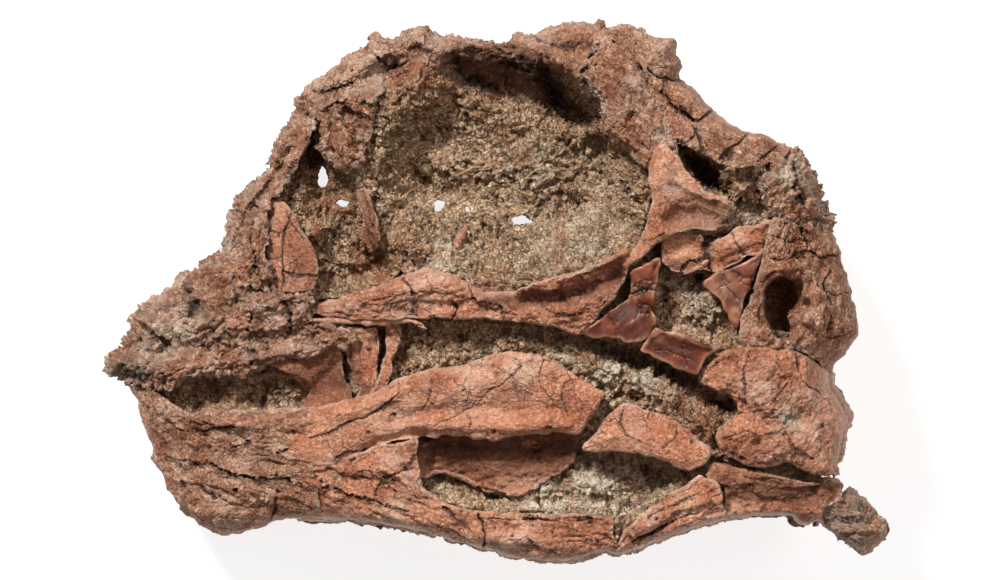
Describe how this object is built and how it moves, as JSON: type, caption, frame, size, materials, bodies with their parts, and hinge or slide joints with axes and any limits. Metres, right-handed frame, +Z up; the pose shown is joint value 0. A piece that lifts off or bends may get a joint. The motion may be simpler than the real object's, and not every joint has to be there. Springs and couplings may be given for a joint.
{
  "type": "oviraptorosaur skull fossil",
  "caption": "Small toothless dinosaur skull with its lower jaw, filled with sandstone, lying on its right side to show the left.",
  "frame": {"origin": "middle of the bounding box seen from above, at floor level", "axes": "+X from the beak towards the back of the head, +Y from the chin towards the skull roof, +Z up out of the left side of the head"},
  "size_m": [0.039, 0.027, 0.014],
  "materials": {
    "bone": "dull red-brown mineralised bone with fine cracks",
    "weathered_bone": "rough, pitted red-brown bone with sand in its hollows",
    "lacquered_bone": "dark red-brown bone, glossy with a consolidating varnish",
    "sandstone": "loose-grained beige sandstone with paler patches"
  },
  "bodies": {
    "root": {"angular_left": "bone", "angular_right": "bone", "articular_left": "bone", "articular_right": "bone", "braincase": "weathered_bone", "dentary": "weathered_bone", "ectopterygoid": "bone", "frontal": "weathered_bone", "jugal_left": "bone", "jugal_right": "bone", "lacrimal_bar": "bone", "lacrimal_left": "bone", "lacrimal_right": "bone", "maxilla_left": "bone", "maxilla_ramus_left": "bone", "maxilla_ramus_right": "bone", "maxilla_right": "bone", "nasal": "weathered_bone", "palatine": "bone", "parietal": "weathered_bone", "postorbital_left": "bone", "postorbital_right": "bone", "prearticular_left": "bone", "prearticular_right": "bone", "premaxilla": "weathered_bone", "pterygoid": "bone", "quadrate_left": "bone", "quadrate_right": "bone", "quadrate_wing": "lacquered_bone", "quadratojugal_left": "lacquered_bone", "quadratojugal_rear": "lacquered_bone", "quadratojugal_right": "bone", "rear_block": "weathered_bone", "sandstone_head": "sandstone", "sandstone_jaw": "sandstone", "skull_base": "sandstone", "splenial": "bone", "squamosal_left": "bone", "squamosal_right": "bone", "supraoccipital": "weathered_bone", "surangular_left": "bone", "surangular_rear_left": "bone", "surangular_rear_right": "bone", "surangular_right": "bone"}
  },
  "joints": []
}
